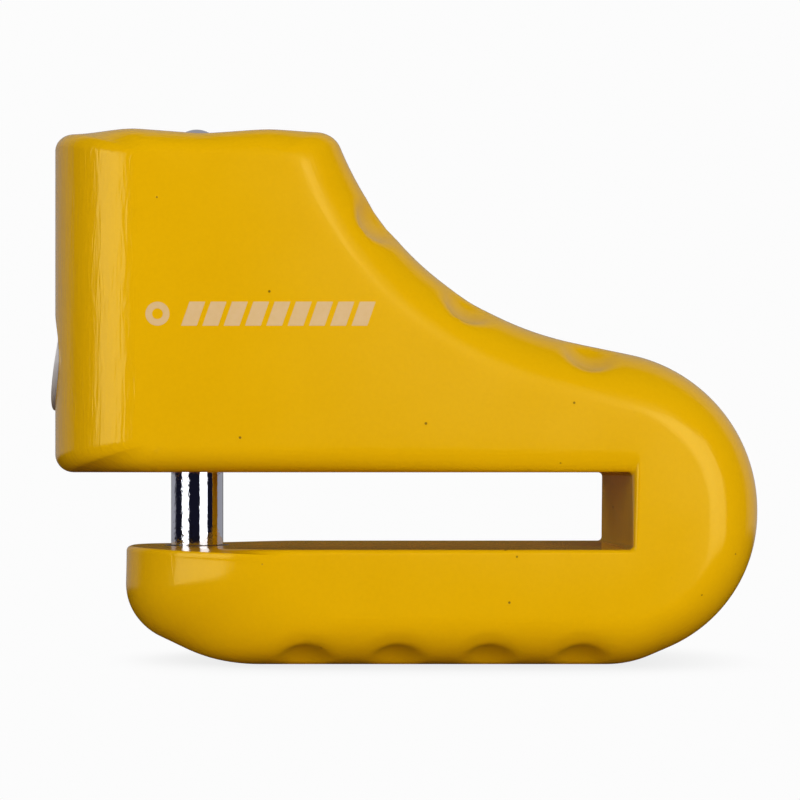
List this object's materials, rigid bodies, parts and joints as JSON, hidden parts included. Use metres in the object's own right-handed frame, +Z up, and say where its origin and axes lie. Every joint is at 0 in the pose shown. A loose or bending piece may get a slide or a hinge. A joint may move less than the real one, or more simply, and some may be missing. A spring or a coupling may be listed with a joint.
{
  "type": "disc brake lock",
  "caption": "Boot-shaped lock with a slot for a brake disc, closed by a sprung pin that is pushed down by its domed top and freed by turning a key.",
  "frame": {"origin": "under the middle of the assembly's box, on the flat land of the sole", "axes": "+X towards the closed toe, -X towards the heel with the key barrel and the slot's mouth, +Y away from the printed side, +Z up"},
  "size_m": [0.08, 0.025, 0.0612],
  "materials": {
    "casting_paint": "gloss yellow enamel on a zinc casting",
    "pin_chrome": "polished hard chrome",
    "cap_chrome": "satin nickel",
    "barrel_metal": "bare die-cast zinc",
    "plug_brass": "machined brass",
    "wafer_brass": "stamped brass",
    "steel": "turned steel",
    "spring_steel": "drawn spring steel"
  },
  "bodies": {
    "casting": {"body": "casting_paint", "top_bush": "steel", "return_spring": "spring_steel", "catch_spring": "spring_steel", "barrel_housing": "barrel_metal", "face_cap": "cap_chrome", "barrel_pin": "spring_steel"},
    "pin": {"locking_pin": "pin_chrome", "pin_clip": "spring_steel", "spring_washer": "steel"},
    "plug": {"plug": "plug_brass", "plug_clip": "spring_steel", "cam": "steel", "wafer_spring_1": "spring_steel", "wafer_spring_2": "spring_steel", "wafer_spring_3": "spring_steel", "wafer_spring_4": "spring_steel", "wafer_spring_5": "spring_steel"},
    "wafer_1": {"wafer_1": "wafer_brass"},
    "wafer_2": {"wafer_2": "wafer_brass"},
    "wafer_3": {"wafer_3": "wafer_brass"},
    "wafer_4": {"wafer_4": "wafer_brass"},
    "wafer_5": {"wafer_5": "wafer_brass"}
  },
  "joints": [
    {"name": "pin_slide", "type": "slide", "parent": "casting", "child": "pin", "axis": [0, 0, 1], "range_m": [0, 0.0124], "deforming": ["return_spring", "catch_spring"]},
    {"name": "plug_turn", "type": "hinge", "parent": "casting", "child": "plug", "pos_m": [-0.0335, 0, 0.0345], "axis": [1, 0, 0], "range_deg": [0, 90], "deforming": ["catch_spring"]},
    {"name": "wafer_1_slide", "type": "slide", "parent": "plug", "child": "wafer_1", "axis": [0, 0, 1], "range_m": [0, 0.0005], "deforming": ["wafer_spring_1"]},
    {"name": "wafer_2_slide", "type": "slide", "parent": "plug", "child": "wafer_2", "axis": [0, 0, -1], "range_m": [0, 0.0005], "deforming": ["wafer_spring_2"]},
    {"name": "wafer_3_slide", "type": "slide", "parent": "plug", "child": "wafer_3", "axis": [0, 0, 1], "range_m": [0, 0.0005], "deforming": ["wafer_spring_3"]},
    {"name": "wafer_4_slide", "type": "slide", "parent": "plug", "child": "wafer_4", "axis": [0, 0, -1], "range_m": [0, 0.0005], "deforming": ["wafer_spring_4"]},
    {"name": "wafer_5_slide", "type": "slide", "parent": "plug", "child": "wafer_5", "axis": [0, 0, 1], "range_m": [0, 0.0005], "deforming": ["wafer_spring_5"]}
  ],
  "couplings": [
    {"joint": "wafer_2_slide", "follows": "wafer_1_slide", "ratio": 1},
    {"joint": "wafer_3_slide", "follows": "wafer_1_slide", "ratio": 1},
    {"joint": "wafer_4_slide", "follows": "wafer_1_slide", "ratio": 1},
    {"joint": "wafer_5_slide", "follows": "wafer_1_slide", "ratio": 1}
  ]
}
